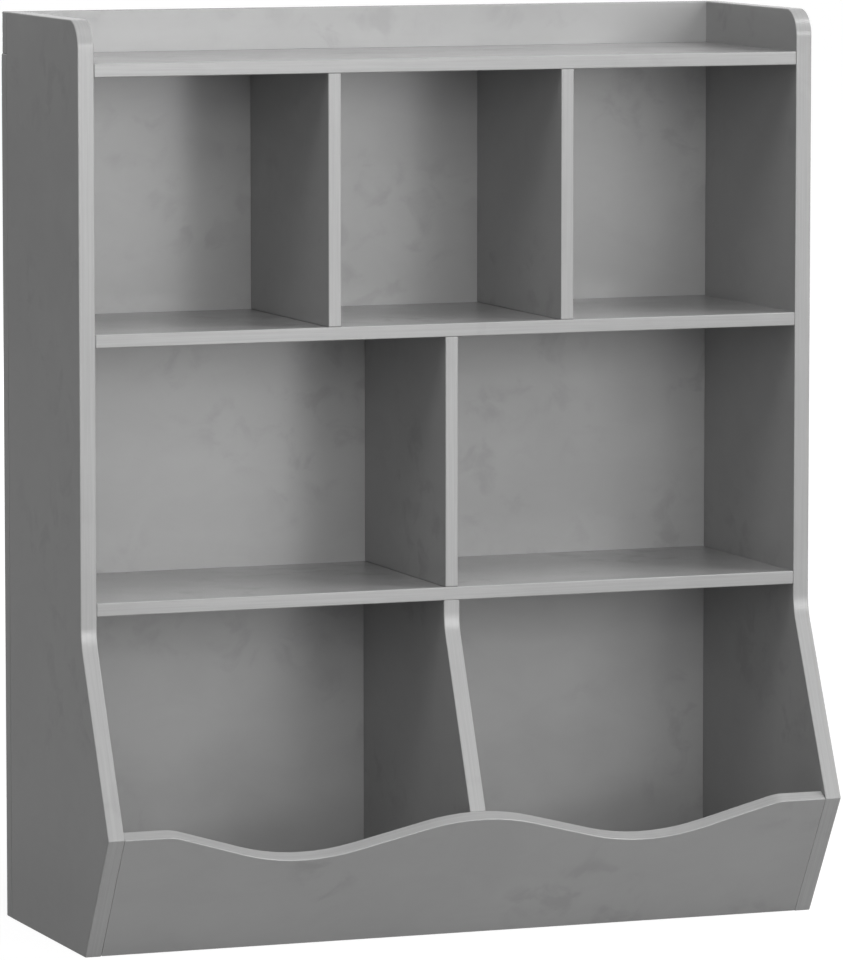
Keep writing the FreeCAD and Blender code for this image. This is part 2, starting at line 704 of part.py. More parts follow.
group("front_panel_end_dowels", dowel, end_dowels([(MID_BOARD, rise) for rise in FRONT_RISES]), leaning=True)
middle_dowel = (TO_REAR, "0", "board - dowel_in_board", "middle_rise")
group("front_panel_middle_dowel", dowel, [middle_dowel], leaning=True)
group("back_rail_dowels", dowel, [(UP, *place, f"{TRAY} - dowel_length / 2") for place in RAIL_DOWELS],
      y=REAR_OF_SIDES)
group("back_panel_screws", screw, [(TO_FRONT, across, "back_board", height) for across, height in BACK_SCREWS],
      y=REAR_OF_SIDES)
doc.recompute()

# Every object has to be sound before anything is written

for thing in doc.Objects:
    if "Invalid" in thing.State or "Error" in thing.State:
        raise RuntimeError(f"{thing.Label} is in the state {thing.State}")
    if thing.TypeId == "Sketcher::SketchObject" and not thing.FullyConstrained:
        raise RuntimeError(f"{thing.Label} is not fully held")

patterns = (dowel, screw, bolt)
nodes = [thing for thing in doc.Objects
         if thing.TypeId in ("PartDesign::Body", "Part::Compound") and thing not in patterns]
os.makedirs("parts", exist_ok=True)
for node in nodes:
    shape = node.Shape
    if shape.isNull() or not shape.isValid():
        raise RuntimeError(f"{node.Label} has no sound shape")
    shape.exportStep(f"parts/{node.Label}.step")
print(len(nodes), "nodes")
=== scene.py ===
# %% [markdown]
# # A toy storage organizer
#
# The object is a flat-packed cabinet for a child's room: grey laminated boards that make a tray, three
# small cubbies, two wide cubbies and two bins behind a leaning front panel with a wavy top edge.
#
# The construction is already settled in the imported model, which is loaded first and never moved. This
# script gives every board its softened edges and its printed finish, makes the fittings in full, and
# lights the whole as in a plain studio. All lengths are in metres, +Z is up, +X is to the right and +Y
# points to the back.

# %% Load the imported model
import math

import bpy
import numpy as np
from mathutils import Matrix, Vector, geometry


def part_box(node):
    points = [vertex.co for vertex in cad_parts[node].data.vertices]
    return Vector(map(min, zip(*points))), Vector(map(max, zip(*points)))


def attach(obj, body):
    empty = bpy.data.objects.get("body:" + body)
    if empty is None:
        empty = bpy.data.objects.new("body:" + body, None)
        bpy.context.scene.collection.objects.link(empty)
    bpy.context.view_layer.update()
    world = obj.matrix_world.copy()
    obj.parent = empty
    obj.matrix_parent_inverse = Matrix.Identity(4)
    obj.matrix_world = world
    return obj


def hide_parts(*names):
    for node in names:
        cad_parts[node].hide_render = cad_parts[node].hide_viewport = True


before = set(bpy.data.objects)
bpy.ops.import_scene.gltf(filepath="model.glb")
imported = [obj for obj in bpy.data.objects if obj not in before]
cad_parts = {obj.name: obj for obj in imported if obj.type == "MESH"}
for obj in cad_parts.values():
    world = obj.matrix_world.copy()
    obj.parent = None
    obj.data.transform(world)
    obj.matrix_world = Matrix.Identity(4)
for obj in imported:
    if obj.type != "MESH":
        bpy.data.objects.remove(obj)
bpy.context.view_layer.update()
MM = 0.001
X, Y, Z = np.eye(3)

# %% [markdown]
# ## The camera
#
# The photograph was taken from far away with a long lens, a little to the left of the cabinet and a
# little above it, so that its upright edges stay almost parallel. A long lens could be faked with an
# orthographic camera, but then the rear boards would not shrink as they do here. The place and the turn
# come from matching the corners of the boards to the photograph.

# %% Camera
CAMERA_PLACE = (-2.17993, -5.74804, 1.07421)
CAMERA_YAW = 20.760
CAMERA_PITCH = 6.231
FOCAL_LENGTH = 255.736
SENSOR = 36

camera_data = bpy.data.cameras.new("camera")
camera_data.lens = FOCAL_LENGTH
camera_data.sensor_width = SENSOR
camera_data.clip_end = 100
camera = bpy.data.objects.new("camera", camera_data)
camera.location = CAMERA_PLACE
camera.rotation_euler = (math.radians(90 - CAMERA_PITCH), 0, math.radians(-CAMERA_YAW))
bpy.context.scene.collection.objects.link(camera)
bpy.context.scene.camera = camera
bpy.context.scene.view_settings.view_transform = "Standard"
print("camera at", CAMERA_PLACE)

# %% [markdown]
# ## Nodes in a few words
#
# A material is a small graph. These helpers add one node each and return its output, so that a finish can
# be read from top to bottom like a recipe.

# %% Helpers for shader nodes
NOISE_RANGE = (0.3, 0.7)


def add_node(tree, kind, **settings):
    node = tree.nodes.new(f"ShaderNode{kind}")
    for name, setting in settings.items():
        setattr(node, name, setting)
    return node


def feed(tree, socket, source):
    """Links an output to the socket, or writes a plain value into it."""
    if isinstance(source, bpy.types.NodeSocket):
        tree.links.new(source, socket)
    else:
        socket.default_value = source


def wire(tree, node, **inputs):
    """Feeds each named input. An underscore stands for a space."""
    for name, source in inputs.items():
        feed(tree, node.inputs[name.replace("_", " ")], source)
    return node


def noise(tree, coordinate, scale, detail=2, roughness=0.5, distortion=0):
    """A cloudy value near 0.5, with that many clouds to the metre."""
    node = add_node(tree, "TexNoise")
    wire(tree, node, Vector=coordinate, Scale=scale, Detail=detail, Roughness=roughness,
         Distortion=distortion)
    return node.outputs["Fac"]


def remap(tree, value, low, high, new_low, new_high):
    """Stretches the values from low to high over the new range, with soft ends."""
    node = add_node(tree, "MapRange", interpolation_type="SMOOTHSTEP")
    wire(tree, node, Value=value, From_Min=low, From_Max=high, To_Min=new_low, To_Max=new_high)
    return node.outputs["Result"]


def spread(tree, cloudy, low, high):
    """Stretches a noise, most of which lies between 0.3 and 0.7, over the range from low to high."""
    return remap(tree, cloudy, *NOISE_RANGE, low, high)


def arithmetic(tree, operation, *sources):
    node = add_node(tree, "Math", operation=operation)
    for socket, source in zip(node.inputs, sources):
        feed(tree, socket, source)
    return node.outputs["Value"]


def stretch(tree, coordinate, scale, shift=(0, 0, 0)):
    """The coordinate, moved and scaled along each axis."""
    node = add_node(tree, "Mapping")
    wire(tree, node, Vector=coordinate, Scale=scale, Location=shift)
    return node.outputs["Vector"]


def new_group(name, inputs, output, kind):
    """A node group with one output and named inputs, each given as (name, socket type)."""
    group = bpy.data.node_groups.new(name, "ShaderNodeTree")
    for label, input_kind in inputs:
        group.interface.new_socket(name=label, in_out="INPUT", socket_type=f"NodeSocket{input_kind}")
    group.interface.new_socket(name=output, in_out="OUTPUT", socket_type=f"NodeSocket{kind}")
    return group, group.nodes.new("NodeGroupInput").outputs, group.nodes.new("NodeGroupOutput").inputs


def place_group(tree, group, **inputs):
    node = tree.nodes.new("ShaderNodeGroup")
    node.node_tree = group
    return wire(tree, node, **inputs).outputs[0]


def new_material(name, **shader_values):
    """A material with one Principled shader. Values that are even all over are set on its own sockets."""
    material = bpy.data.materials.new(name)
    material.use_nodes = True
    shader = material.node_tree.nodes["Principled BSDF"]
    wire(material.node_tree, shader, **shader_values)
    return material, material.node_tree, shader


print("helpers ready")

# %% [markdown]
# ## The printed finish
#
# The boards are covered with a grey foil that is printed with faint clouds and smudges, like smooth
# cement. The print could be painted as an image, but it would repeat and blur. Noise in the piece's own
# UV map, which is laid out in metres, gives every board its own stretch of foil at the right scale.
#
# Three effects are used by more than one finish, so each is a node group: the cloudy print, an uneven
# gloss, and a fine grain that the bump takes for its height.

# %% Shared effects
def build_cloudy_print():
    """Brightness = base x (1 + contrast x (clouds + drifts - smudges)).

    The clouds are wide and faint, the drifts are thinner and lie across, and the smudges are feathery
    dark marks that gather in clusters and leave the rest of the foil plain.
    """
    group, given, result = new_group(
        "cloudy_print", [("Coordinate", "Vector"), ("Base", "Float"), ("Contrast", "Float")],
        "Color", "Color")
    at = given["Coordinate"]
    clouds = spread(group, noise(group, at, 7, 3), -0.025, 0.025)
    flattened = stretch(group, at, (0.6, 1, 1))
    drifts = spread(group, noise(group, flattened, 28, 4, 0.6, 0.8), -0.015, 0.015)
    elsewhere = stretch(group, at, (1, 1, 1), (3.1, 1.7, 0))
    clusters = remap(group, noise(group, elsewhere, 6, 2), 0.49, 0.61, 0, 1)
    marks = remap(group, noise(group, at, 32, 4, 0.5, 0.5), 0.48, 0.68, 0, 0.12)
    smudges = arithmetic(group, "MULTIPLY", clusters, marks)
    print_depth = arithmetic(group, "SUBTRACT", arithmetic(group, "ADD", clouds, drifts), smudges)
    change = arithmetic(group, "MULTIPLY_ADD", print_depth, given["Contrast"], 1.0)
    brightness = arithmetic(group, "MULTIPLY", change, given["Base"])
    grey = wire(group, add_node(group, "CombineColor"), Red=brightness, Green=brightness, Blue=brightness)
    group.links.new(grey.outputs["Color"], result["Color"])
    return group


def build_uneven_gloss():
    """Roughness = the given value, give or take what the fine grain and some wide patches add."""
    group, given, result = new_group(
        "uneven_gloss", [("Coordinate", "Vector"), ("Roughness", "Float"), ("Grains", "Float")],
        "Roughness", "Float")
    fine = spread(group, noise(group, given["Coordinate"], given["Grains"], 1), -0.01, 0.01)
    wide = spread(group, noise(group, given["Coordinate"], 14), -0.015, 0.015)
    uneven = arithmetic(group, "ADD", arithmetic(group, "ADD", fine, wide), given["Roughness"])
    group.links.new(uneven, result["Roughness"])
    return group


def build_fine_grain():
    """Height = a fine noise with that many grains to the metre."""
    group, given, result = new_group(
        "fine_grain", [("Coordinate", "Vector"), ("Grains", "Float")], "Height", "Float")
    group.links.new(noise(group, given["Coordinate"], given["Grains"], 1), result["Height"])
    return group


CLOUDY_PRINT = build_cloudy_print()
UNEVEN_GLOSS = build_uneven_gloss()
FINE_GRAIN = build_fine_grain()
print("groups:", [group.name for group in bpy.data.node_groups])

# %% [markdown]
# ## Laminate and edge band
#
# Each board has two finishes. Its faces carry the cloudy print, and its edges are closed with a strip of
# plainer band whose faint streaks run along the edge. Both are satin: the shelves show a soft image of
# what stands on them.
#
# The roughness wavers a little, but it stays below 0.27 everywhere. Cycles cleans the noise off glossier
# and rougher surfaces in two ways, and a roughness that wavers across that value would print dots.

# %% Laminate and edge band
FOIL_GREY = 0.36
BAND_GREY = 0.39
FOIL_ROUGHNESS = 0.24
BAND_ROUGHNESS = 0.245
LAMINATE_GRAINS = 350.0
LAMINATE_RELIEF = 0.03
RELIEF_DEPTH = 0.1 * MM


def foil_coordinate(tree):
    return add_node(tree, "UVMap", uv_map="foil").outputs["UV"]


def add_tooth(tree, shader, coordinate, roughness, grains, bump):
    """The gloss and the fine relief of a surface."""
    gloss = place_group(tree, UNEVEN_GLOSS, Coordinate=coordinate, Roughness=roughness, Grains=grains)
    height = place_group(tree, FINE_GRAIN, Coordinate=coordinate, Grains=grains)
    relief = wire(tree, add_node(tree, "Bump"), Strength=bump, Distance=RELIEF_DEPTH, Height=height)
    wire(tree, shader, Roughness=gloss, Normal=relief.outputs["Normal"])


def make_laminate():
    material, tree, shader = new_material("grey_laminate", IOR=1.5)
    at = foil_coordinate(tree)
    cloudy = place_group(tree, CLOUDY_PRINT, Coordinate=at, Base=FOIL_GREY, Contrast=1.0)
    wire(tree, shader, Base_Color=cloudy)
    add_tooth(tree, shader, at, FOIL_ROUGHNESS, LAMINATE_GRAINS, LAMINATE_RELIEF)
    return material


def make_edge_band():
    """Plainer grey with fine streaks, which are 75 times as long as wide and run along the band."""
    material, tree, shader = new_material("grey_edge_band", IOR=1.5)
    at = foil_coordinate(tree)
    streaks = spread(tree, noise(tree, stretch(tree, at, (8, 600, 1)), 1, 3, 0.6), 0.95, 1.05)
    base = arithmetic(tree, "MULTIPLY", streaks, BAND_GREY)
    streaky = place_group(tree, CLOUDY_PRINT, Coordinate=at, Base=base, Contrast=0.5)
    wire(tree, shader, Base_Color=streaky)
    add_tooth(tree, shader, at, BAND_ROUGHNESS, LAMINATE_GRAINS, LAMINATE_RELIEF)
    return material


LAMINATE = make_laminate()
EDGE_BAND = make_edge_band()
print("finishes:", LAMINATE.name, EDGE_BAND.name)

# %% [markdown]
# ## Beech and zinc
#
# The fittings hide in their holes, but they are finished like the rest, because the cabinet can be taken
# apart. One recipe serves all three: a noise that is stretched over the piece mixes a dark and a light
# shade. Long narrow patches look like wood grain, and round ones like the tints of plated or cast metal.

# %% Finishes of the fittings
FITTING_GRAINS = 2500.0


def make_fitting_finish(name, dark, light, patches, roughness, bump, **shader_values):
    """Patches of two shades, so many to the metre round the piece and along it."""
    material, tree, shader = new_material(name, **shader_values)
    at = foil_coordinate(tree)
    ramp = add_node(tree, "ValToRGB")
    for element, shade in zip(ramp.color_ramp.elements, (dark, light)):
        element.color = (*shade, 1)
    wire(tree, ramp, Fac=spread(tree, noise(tree, stretch(tree, at, (*patches, 1)), 1, 3, 0.6), 0, 1))
    wire(tree, shader, Base_Color=ramp.outputs["Color"])
    add_tooth(tree, shader, at, roughness, FITTING_GRAINS, bump)
    return material


BEECH = make_fitting_finish("beech", (0.36, 0.22, 0.12), (0.60, 0.42, 0.26), (1500, 90), 0.6, 0.3, IOR=1.45)
ZINC_PLATE = make_fitting_finish(
    "zinc_plated_steel", (0.60, 0.64, 0.69), (0.75, 0.72, 0.63), (160, 160), 0.3, 0.1, Metallic=1)
CAST_ZINC = make_fitting_finish(
    "cast_zinc", (0.40, 0.41, 0.42), (0.53, 0.53, 0.52), (400, 400), 0.5, 0.4, Metallic=1)
print("finishes:", BEECH.name, ZINC_PLATE.name, CAST_ZINC.name)

# %% [markdown]
# ## Outlines with rounded corners
#
# Every board is cut from a sheet along an outline of straight stretches and arcs. Curves could be drawn
# by hand in the editor, but an outline given by its corners and their radii is exact, and each arc runs
# smoothly into the straight stretches beside it. The arc's own formula also gives the direction that
# points out of the board.

# %% Rounded outlines
ARC_STEP = math.radians(4)
LEAST_STEPS = 4
CIRCLE_STEPS = 40


def around(angles):
    """Points on a circle of radius 1 at those angles."""
    return np.column_stack([np.cos(angles), np.sin(angles)])


def full_turn(steps):
    return np.linspace(0, 2 * math.pi, steps, endpoint=False)


def circle(across, up, radius):
    return np.array([across, up]) + radius * around(full_turn(CIRCLE_STEPS))


def round_off(before, corner, after, radius, arc_step):
    """Points and outward directions on the arc of that radius that touches both sides of the corner.

    The touching points lie radius / tan(half the corner's angle) from the corner, and the centre lies
    radius / sin(half the angle) from it along the bisector. Between them the direction turns evenly.
    """
    to_before = (before - corner) / np.linalg.norm(before - corner)
    to_after = (after - corner) / np.linalg.norm(after - corner)
    half_angle = math.acos(np.clip(to_before @ to_after, -1, 1)) / 2
    bisector = (to_before + to_after) / np.linalg.norm(to_before + to_after)
    centre = corner + bisector * radius / math.sin(half_angle)
    first = (corner + to_before * radius / math.tan(half_angle) - centre) / radius
    turn = math.pi - 2 * half_angle
    convex = to_before[0] * to_after[1] - to_before[1] * to_after[0] < 0
    steps = max(LEAST_STEPS, round(turn / arc_step))
    start = math.atan2(first[1], first[0])
    spokes = around(start + np.linspace(0, turn if convex else -turn, steps + 1))
    return centre + radius * spokes, spokes if convex else -spokes


def rounded_outline(corners, arc_step=ARC_STEP):
    """A closed outline, anticlockwise, and its outward directions. A corner is (across, up, radius)."""
    places = np.array([corner[:2] for corner in corners], float)
    arcs = [round_off(before, here, after, corner[2], arc_step) for before, here, after, corner
            in zip(np.roll(places, 1, 0), places, np.roll(places, -1, 0), corners)]
    return tuple(np.concatenate(part) for part in zip(*arcs))


square = rounded_outline([(0, 0, 0.1), (1, 0, 0.1), (1, 1, 0.1), (0, 1, 0.1)])
print("a square with rounded corners has", len(square[0]), "points")

# %% [markdown]
# ## Skins
#
# A piece is a skin stretched over loops of points. Loops of equal length are joined by quads into a wall,
# and a flat face between an outer loop and any holes is filled with triangles. Whole arrays of points are
# worked out at once, which is both shorter and much faster than adding vertices one by one.
#
# The UV map is written at the same time, in metres: round the loop and across it on a wall, and straight
# across the board on a flat face. So the print and the streaks keep their scale on every piece.

# %% Skins over loops of points
INSIDE_LOOPS = 1
SHARP = math.radians(40)


def running(lengths):
    """The distance walked to each point, starting at 0."""
    return np.concatenate([[0], np.cumsum(lengths)])


class Skin:
    """Collects loops of points and the faces between them, and then makes one piece of them.

    A loop is given in the frame that place() set: a point is
    origin + across x first axis + up x second axis + out x third axis.
    """

    def __init__(self, print_shift=(0, 0)):
        self.shift = np.array(print_shift, float)
        self.local, self.points = np.zeros((0, 3)), np.zeros((0, 3))
        self.faces, self.uvs, self.slots = [], [], []

    def place(self, origin, axes):
        self.origin, self.axes = np.array(origin, float), np.array(axes, float)

    def wall(self, outlines, outs, slot=1):
        """Joins loops of equal length with quads.

        Where anticlockwise loops climb, the wall faces away from the middle. The numbers of the first and
        the last loop's points are returned, so that a face can be filled there.
        """
        outlines = np.array(outlines, float)
        rows, steps = outlines.shape[:2]
        local = np.dstack([outlines, np.broadcast_to(np.reshape(outs, (rows, 1)), (rows, steps))])
        loops = len(self.local) + np.arange(rows * steps).reshape(rows, steps)
        self.local = np.concatenate([self.local, local.reshape(-1, 3)])
        self.points = np.concatenate([self.points, self.origin + local.reshape(-1, 3) @ self.axes])
        low, high = loops[:-1], loops[1:]
        quads = np.stack([low, np.roll(low, -1, 1), np.roll(high, -1, 1), high], -1)
        round_it = running(np.linalg.norm(np.roll(outlines[0], -1, 0) - outlines[0], axis=1))
        over_it = running(np.linalg.norm(np.diff(local[:, 0], axis=0), axis=1))
        u = np.stack([round_it[:-1], round_it[1:], round_it[1:], round_it[:-1]], -1)
        v = np.stack([over_it[:-1], over_it[:-1], over_it[1:], over_it[1:]], -1)
        uv = np.stack(np.broadcast_arrays(u[None], v[:, None]), -1)
        self.add(quads.reshape(-1, 4), uv.reshape(-1, 4, 2), slot)
        return loops[0], loops[-1]

    def fill(self, outer, holes=(), facing=1, slot=0):
        """A flat face inside the outer loop and outside the holes. Facing is 1 for the far side, or -1."""
        faces = self.triangles([outer, *holes]) if holes else outer[None]
        flat = self.local[faces, :2]
        after = np.roll(flat, -1, 1)
        turns_left = (flat[..., 0] * after[..., 1] - flat[..., 1] * after[..., 0]).sum(1) > 0
        faces = np.where(turns_left[:, None] == (facing > 0), faces, faces[:, ::-1])
        self.add(faces, self.local[faces, :2], slot)

    def triangles(self, loops):
        """Triangles inside the first loop and outside the others, which are holes.

        Seen from a point inside a hole, the hole's loop turns once round that point.
        """
        numbers = np.concatenate(loops)
        starts = running([len(loop) for loop in loops])[:-1]
        edges = [start + np.column_stack([np.arange(len(loop)), np.roll(np.arange(len(loop)), -1)])
                 for start, loop in zip(starts, loops)]
        flat = [Vector(point) for point in self.local[numbers, :2]]
        found = geometry.delaunay_2d_cdt(flat, np.concatenate(edges).tolist(), [], INSIDE_LOOPS, 1e-9)
        faces = np.array([[found[3][corner][0] for corner in face] for face in found[2]])
        plane = self.local[numbers, :2] @ (1, 1j)
        for start, hole in zip(starts[1:], loops[1:]):
            spokes = plane[start:start + len(hole)] - plane[faces].mean(1)[:, None]
            turn = np.angle(np.roll(spokes, -1, 1) / spokes).sum(1)
            faces = faces[abs(turn) < math.pi]
        return numbers[faces]

    def add(self, faces, uv, slot):
        self.faces += faces.tolist()
        self.uvs.append((uv + self.shift).reshape(-1, 2))
        self.slots += [slot] * len(faces)

    def make(self, name, material_slot, *materials):
        """The finished piece, which stands for the node of its name."""
        mesh = bpy.data.meshes.new(name)
        mesh.from_pydata(self.points.tolist(), [], self.faces)
        mesh.uv_layers.new(name="foil").data.foreach_set("uv", np.concatenate(self.uvs).ravel())
        for material in materials:
            mesh.materials.append(material)
        mesh.polygons.foreach_set("material_index", self.slots)
        mesh.shade_smooth()
        mesh.set_sharp_from_angle(angle=SHARP)
        piece = bpy.data.objects.new(f"{name}_skin", mesh)
        bpy.context.scene.collection.objects.link(piece)
        even = piece.modifiers.new("even_shading", "WEIGHTED_NORMAL")
        even.weight = 100
        even.keep_sharp = True
        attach(piece, "root")
        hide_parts(name)
        return piece


print("skins ready")

# %% [markdown]
# ## A board
#
# On the real cabinet the arris between a face and an edge is eased to about a millimetre, which is what
# draws the thin bright and dark lines along every board. A Bevel modifier could do it, but a profile
# carried along the outline gives the same rounding everywhere, also round the arcs.
#
# Boards lie three ways. An upright board that runs from front to back is drawn in Y and Z, a lying board
# in X and Y, and a board across the cabinet in X and Z, seen from behind. The third axis always follows
# from the first two, so that the faces point outwards.

# %% Boards with eased edges
EASE = 0.9 * MM
ARRIS = 1.2 * MM
EASE_STEPS = 4
PRINT_STEP = np.array([0.83, 0.57])
FRONT_TO_BACK = (Y, Z, X)
LYING = (X, Y, Z)
ACROSS_BACK = (-X, Z, Y)
boards = []


def edge_profile(thickness):
    """Insets and heights from the near face to the far one, with a quarter circle at each.

    Along the quarter circle the inset is ease x (1 - sin turn) and the height is ease x (1 - cos turn).
    """
    turn = np.linspace(0, math.pi / 2, EASE_STEPS + 1)
    inset, height = EASE * (1 - np.sin(turn)), EASE * (1 - np.cos(turn))
    return np.concatenate([inset, inset[::-1]]), np.concatenate([height, thickness - height[::-1]])


def board(name, outline, thickness, origin, axes, holes=(), slant=0, crisp=0):
    """A board whose faces are the outline and whose edge is the eased profile carried round it.

    A hole is (side, loops, depths): side 1 is the far face and -1 the near one, and a hole as deep as the
    board goes through it. The slant is how far the front edge steps back for each unit below the far face,
    and crisp is the share of the easing that the rear or top edge goes without, or if negative, the front
    or bottom edge.
    """
    points, outward = outline
    skin = Skin(PRINT_STEP * len(boards))
    skin.place(origin, axes)
    insets, heights = edge_profile(thickness)
    eased = outward * (1 - np.clip(crisp * outward[:, 1:], 0, 1))
    loops = points - eased * insets[:, None, None]
    at_front = points[:, 1] < points[:, 1].mean()
    loops[..., 1] += np.outer(slant * (thickness - heights), at_front)
    near, far = skin.wall(loops, heights)
    mouths = {1: [], -1: []}
    for side, rings, depths in holes:
        face_height = thickness if side == 1 else 0
        mouth, end = skin.wall([ring[::side] for ring in rings], face_height - side * np.array(depths))
        mouths[side].append(mouth)
        if depths[-1] < thickness:
            skin.fill(end, facing=side)
        else:
            mouths[-side].append(end)
    skin.fill(near, mouths[-1], facing=-1)
    skin.fill(far, mouths[1])
    boards.append(skin.make(name, "grey_laminate", LAMINATE, EDGE_BAND))


def rectangle(low, high, radius=ARRIS):
    return rounded_outline([(low[0], low[1], radius), (high[0], low[1], radius), (high[0], high[1], radius),
                            (low[0], high[1], radius)])


print("insets of the edge profile in mm:", np.round(edge_profile(12 * MM)[0] / MM, 2))

# %% [markdown]
# ## Side panels
#
# Both side panels have the same outline: a toe that slants back to the floor, a sharp corner at the
# front, a slanting edge, a soft knee, a straight edge and a round top corner. They differ only in where
# they stand. The length of the gleam on the knee gives its radius, and it is wider than in the packed
# model, which moves the edge by less than a millimetre.

# %% Side panels
left_low, left_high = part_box("left_side_panel")
SIDE_BOARD = left_high.x - left_low.x
INSIDE = -left_high.x
BACK = left_high.y
CORNER = left_low.y
HEIGHT = left_high.z
CORNER_HEIGHT = 114 * MM
TOE = CORNER + 68.5 * MM
FRONT = CORNER + 76 * MM
KNEE_HEIGHT = 280 * MM
KNEE_RADIUS = 60 * MM
TOP_RADIUS = 24 * MM

side_outline = rounded_outline([
    (TOE, 0, ARRIS),
    (BACK, 0, ARRIS),
    (BACK, HEIGHT, ARRIS),
    (FRONT, HEIGHT, TOP_RADIUS),
    (FRONT, KNEE_HEIGHT, KNEE_RADIUS),
    (CORNER, CORNER_HEIGHT, ARRIS),
])
for name in ("left_side_panel", "right_side_panel"):
    board(name, side_outline, SIDE_BOARD, (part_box(name)[0].x, 0, 0), FRONT_TO_BACK)
print("a side panel has", len(side_outline[0]), "points round its outline")

# %% [markdown]
# ## Lying boards
#
# The tray floor, both shelves and the bin floor lie between the side panels, and their size and place are
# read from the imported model. The tray floor and the bin floor have a round pocket near each end of their
# underside for a cam lock. The bin floor's front edge slants with the front panel, which stands against
# it. The rear edges, which touch the back, are almost square: the photograph shows no groove there.

# %% Lying boards
FRONT_ROW = FRONT + 60 * MM
CAM_DISTANCE = 24 * MM
CAM_RADIUS = 6 * MM
CAM_LENGTH = 10 * MM
POCKET_RADIUS = CAM_RADIUS + 0.1 * MM
SLANT = (TOE - CORNER) / CORNER_HEIGHT
CRISP = 0.85

lock_across = INSIDE - CAM_DISTANCE
lock_pockets = [(-1, [circle(side * lock_across, FRONT_ROW, POCKET_RADIUS)] * 2, (0, CAM_LENGTH))
                for side in (-1, 1)]
for name, holes, slant in (("top_board", lock_pockets, 0), ("upper_shelf", (), 0), ("lower_shelf", (), 0),
                           ("bottom_board", lock_pockets, SLANT)):
    low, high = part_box(name)
    board(name, rectangle(low[:2], high[:2]), high.z - low.z, (0, 0, low.z), LYING, holes, slant, CRISP)
    print(name, "lies at", round(low.z, 4))

# %% [markdown]
# ## Dividers
#
# The three plain dividers are rectangles that show only between the shelves: their tongues sit in grooves
# that nobody sees. The lower divider follows the slant of the side panels and then the back of the front
# panel.

# %% Dividers
PANEL_BOARD = 12 * MM
LEAN = math.atan(SLANT)
FACE = math.hypot(TOE - CORNER, CORNER_HEIGHT)
UP_FACE = np.array([0, -math.sin(LEAN), math.cos(LEAN)])
INTO_PANEL = np.array([0, math.cos(LEAN), math.sin(LEAN)])
panel_foot = np.array([0, TOE, 0])

upper_low, upper_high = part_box("upper_shelf")
lower_low, lower_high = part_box("lower_shelf")
tray_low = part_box("top_board")[0]
for name, foot, head in (("top_left_divider", upper_high.z, tray_low.z),
                         ("top_right_divider", upper_high.z, tray_low.z),
                         ("middle_divider", lower_high.z, upper_low.z)):
    low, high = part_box(name)
    board(name, rectangle((FRONT, foot), (BACK, head)), high.x - low.x, (low.x, 0, 0), FRONT_TO_BACK)

bin_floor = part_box("bottom_board")[1].z
rear_top = panel_foot + UP_FACE * FACE + INTO_PANEL * PANEL_BOARD
rear_foot = TOE + PANEL_BOARD / math.cos(LEAN) - bin_floor * math.tan(LEAN)
low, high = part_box("lower_divider")
board("lower_divider", rounded_outline([
    (rear_foot, bin_floor, ARRIS),
    (BACK, bin_floor, ARRIS),
    (BACK, lower_low.z, ARRIS),
    (FRONT, lower_low.z, 0.2 * ARRIS),
    (FRONT, KNEE_HEIGHT, KNEE_RADIUS),
    (rear_top[1], rear_top[2], ARRIS),
]), high.x - low.x, (low.x, 0, 0), FRONT_TO_BACK)
print("the front panel leans", round(math.degrees(LEAN), 1), "degrees and is", round(FACE / MM, 1), "mm up")

# %% [markdown]
# ## The front panel with its wave
#
# The wavy edge is the part that makes this cabinet friendly: two flat shoulders, two long troughs and a
# crest in the middle. Seen as an outline it is again a polygon with rounded corners: the slopes are
# straight, and where they meet, the corner is rounded with the radius of the shoulder, the trough or the
# crest. The slopes are the lines that touch two of these circles.
#
# Once the render stood beside the photograph, the edge could be read more exactly than before. So the
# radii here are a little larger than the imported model's, and the edge departs from it by 2 mm at most.

# %% Front panel
SHOULDER_LENGTH = 39 * MM
SHOULDER_RADIUS = 41 * MM
WAVE_DEPTH = 34.7 * MM
TROUGH_OFFSET = 163 * MM
TROUGH_RADIUS = 169 * MM
CREST_RADIUS = 170 * MM


def slope_angle(across, up, radii):
    """The angle of a line that leaves one circle over its top and meets the next under its bottom.

    The circles' centres are across and up apart.
    Angle = asin(both radii / distance) - atan(up / across).
    """
    return math.asin(radii / math.hypot(across, up)) - math.atan2(up, across)


half_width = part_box("front_bin_panel")[1].x
shoulder_at = half_width - SHOULDER_LENGTH
trough_up = FACE - WAVE_DEPTH + TROUGH_RADIUS
inner = slope_angle(TROUGH_OFFSET, trough_up - (FACE - CREST_RADIUS), CREST_RADIUS + TROUGH_RADIUS)
outer = slope_angle(shoulder_at - TROUGH_OFFSET, trough_up - (FACE - SHOULDER_RADIUS),
                    SHOULDER_RADIUS + TROUGH_RADIUS)
crest_up = FACE - CREST_RADIUS + CREST_RADIUS / math.cos(inner)
bend_at = shoulder_at - SHOULDER_RADIUS * math.tan(outer / 2)
dip_at = (crest_up - FACE + bend_at * math.tan(outer)) / (math.tan(inner) + math.tan(outer))
dip_up = crest_up - dip_at * math.tan(inner)

right_half = [(half_width, 0, ARRIS), (half_width, FACE, ARRIS), (bend_at, FACE, SHOULDER_RADIUS),
              (dip_at, dip_up, TROUGH_RADIUS)]
left_half = [(-across, up, radius) for across, up, radius in reversed(right_half)]
wave_outline = rounded_outline([*right_half, (0, crest_up, CREST_RADIUS), *left_half])
board("front_bin_panel", wave_outline, PANEL_BOARD, panel_foot + INTO_PANEL * PANEL_BOARD,
      (X, UP_FACE, -INTO_PANEL))
print("the slopes fall", round(math.degrees(outer), 1), "and", round(math.degrees(inner), 1), "degrees")

# %% [markdown]
# ## The back
#
# The back panel and the rail above it lie across the rear edges of the side panels. The panel is held by
# six countersunk screws, and the rail has two small pilot holes for a wall strap. The two edges that meet
# behind the tray are almost square too.

